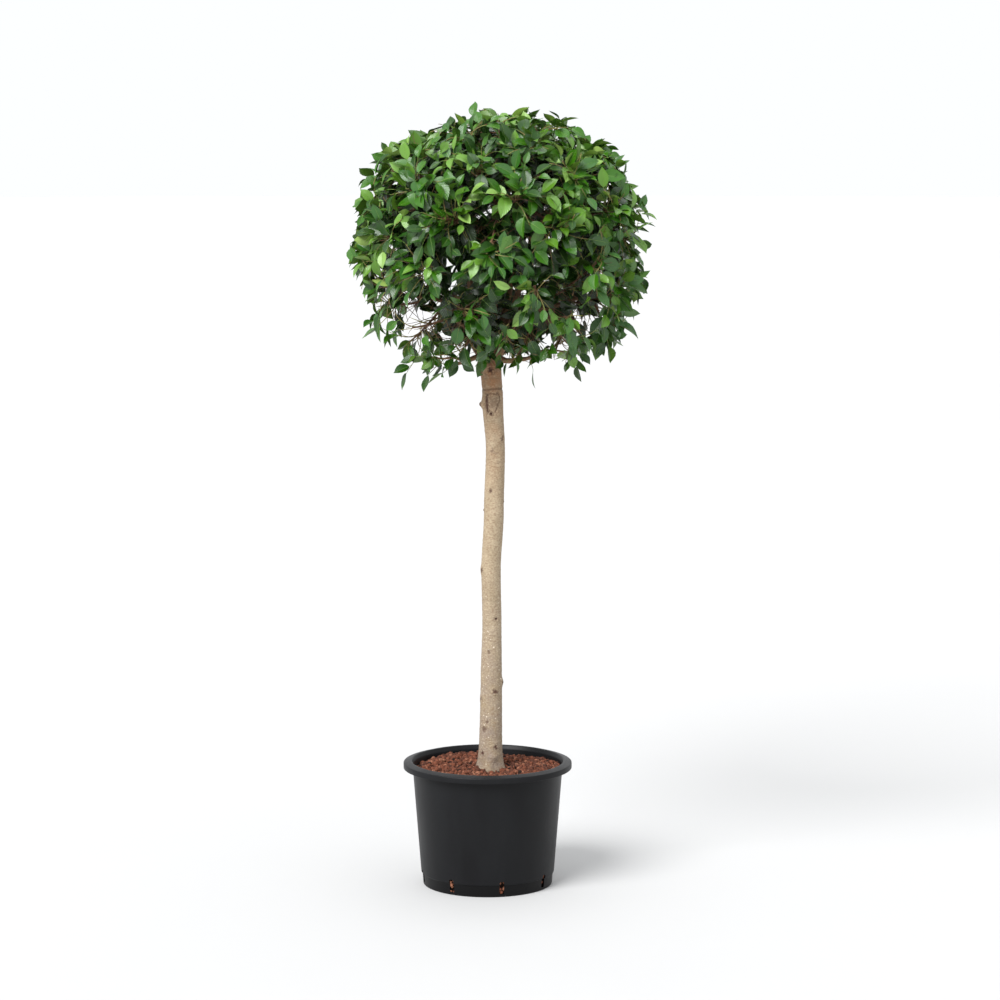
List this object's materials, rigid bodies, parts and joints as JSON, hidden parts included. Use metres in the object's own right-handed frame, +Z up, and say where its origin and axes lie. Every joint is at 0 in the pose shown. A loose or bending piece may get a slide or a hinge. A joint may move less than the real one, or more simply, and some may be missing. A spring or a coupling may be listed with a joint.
{
  "type": "standard lollipop topiary",
  "caption": "Potted topiary with a clipped ball head on a clear bare stem, in a round plastic nursery pot of lava granules.",
  "frame": {"origin": "centre of the pot's flat underside, where the plant stands", "axes": "+Z up the stem, -Y towards the front of the plant, +X to its right seen from the front"},
  "size_m": [0.7293, 0.7318, 1.9621],
  "materials": {
    "pot_plastic": "satin",
    "granules": "matte",
    "bark": "matte",
    "young_bark": "matte",
    "foliage": "satin"
  },
  "bodies": {
    "root": {"pot": "pot_plastic", "granule_fill": "granules", "trunk": "bark", "bough_low_1": "young_bark", "bough_low_2": "young_bark", "bough_low_3": "young_bark", "bough_low_4": "young_bark", "bough_low_5": "young_bark", "bough_low_6": "young_bark", "bough_high_1": "young_bark", "bough_high_2": "young_bark", "bough_high_3": "young_bark", "bough_high_4": "young_bark", "bough_high_5": "young_bark", "leader": "young_bark", "foliage_low_1": "foliage", "foliage_low_2": "foliage", "foliage_low_3": "foliage", "foliage_low_4": "foliage", "foliage_low_5": "foliage", "foliage_low_6": "foliage", "foliage_high_1": "foliage", "foliage_high_2": "foliage", "foliage_high_3": "foliage", "foliage_high_4": "foliage", "foliage_high_5": "foliage", "foliage_top": "foliage"}
  },
  "joints": []
}
